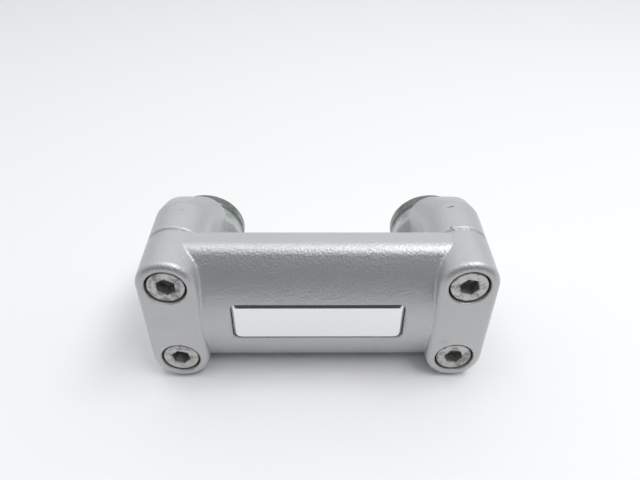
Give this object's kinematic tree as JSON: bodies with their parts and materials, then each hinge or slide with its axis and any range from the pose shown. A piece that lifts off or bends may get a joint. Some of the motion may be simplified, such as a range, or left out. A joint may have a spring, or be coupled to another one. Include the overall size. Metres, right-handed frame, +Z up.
{
  "type": "handlebar clamp",
  "caption": "Handlebar clamp: a one-piece arched upper clamp screwed down over the bar onto two risers with round plated bases.",
  "frame": {"origin": "on the handlebar's axis midway between the two clamps, in the parting plane", "axes": "+X along the handlebar, -Y the way the screw heads and the badge face, +Z up as the clamp lies on its side"},
  "size_m": [0.1264, 0.06, 0.0576],
  "materials": {
    "cast_silver": "satin silver paint on cast aluminium, a little worn",
    "badge_metal": "bright brushed plate",
    "adhesive_pad": "foam adhesive pad",
    "zinc_screw": "zinc-plated steel, dulled",
    "plated_ring": "plated steel with a greenish grey cast"
  },
  "bodies": {
    "root": {"upper_clamp": "cast_silver", "badge_plate": "badge_metal", "badge_pad": "adhesive_pad", "clamp_screw_upper_left": "zinc_screw", "clamp_screw_upper_right": "zinc_screw", "clamp_screw_lower_left": "zinc_screw", "clamp_screw_lower_right": "zinc_screw", "riser_left": "cast_silver", "riser_right": "cast_silver", "base_ring_left": "plated_ring", "base_ring_right": "plated_ring"}
  },
  "joints": []
}
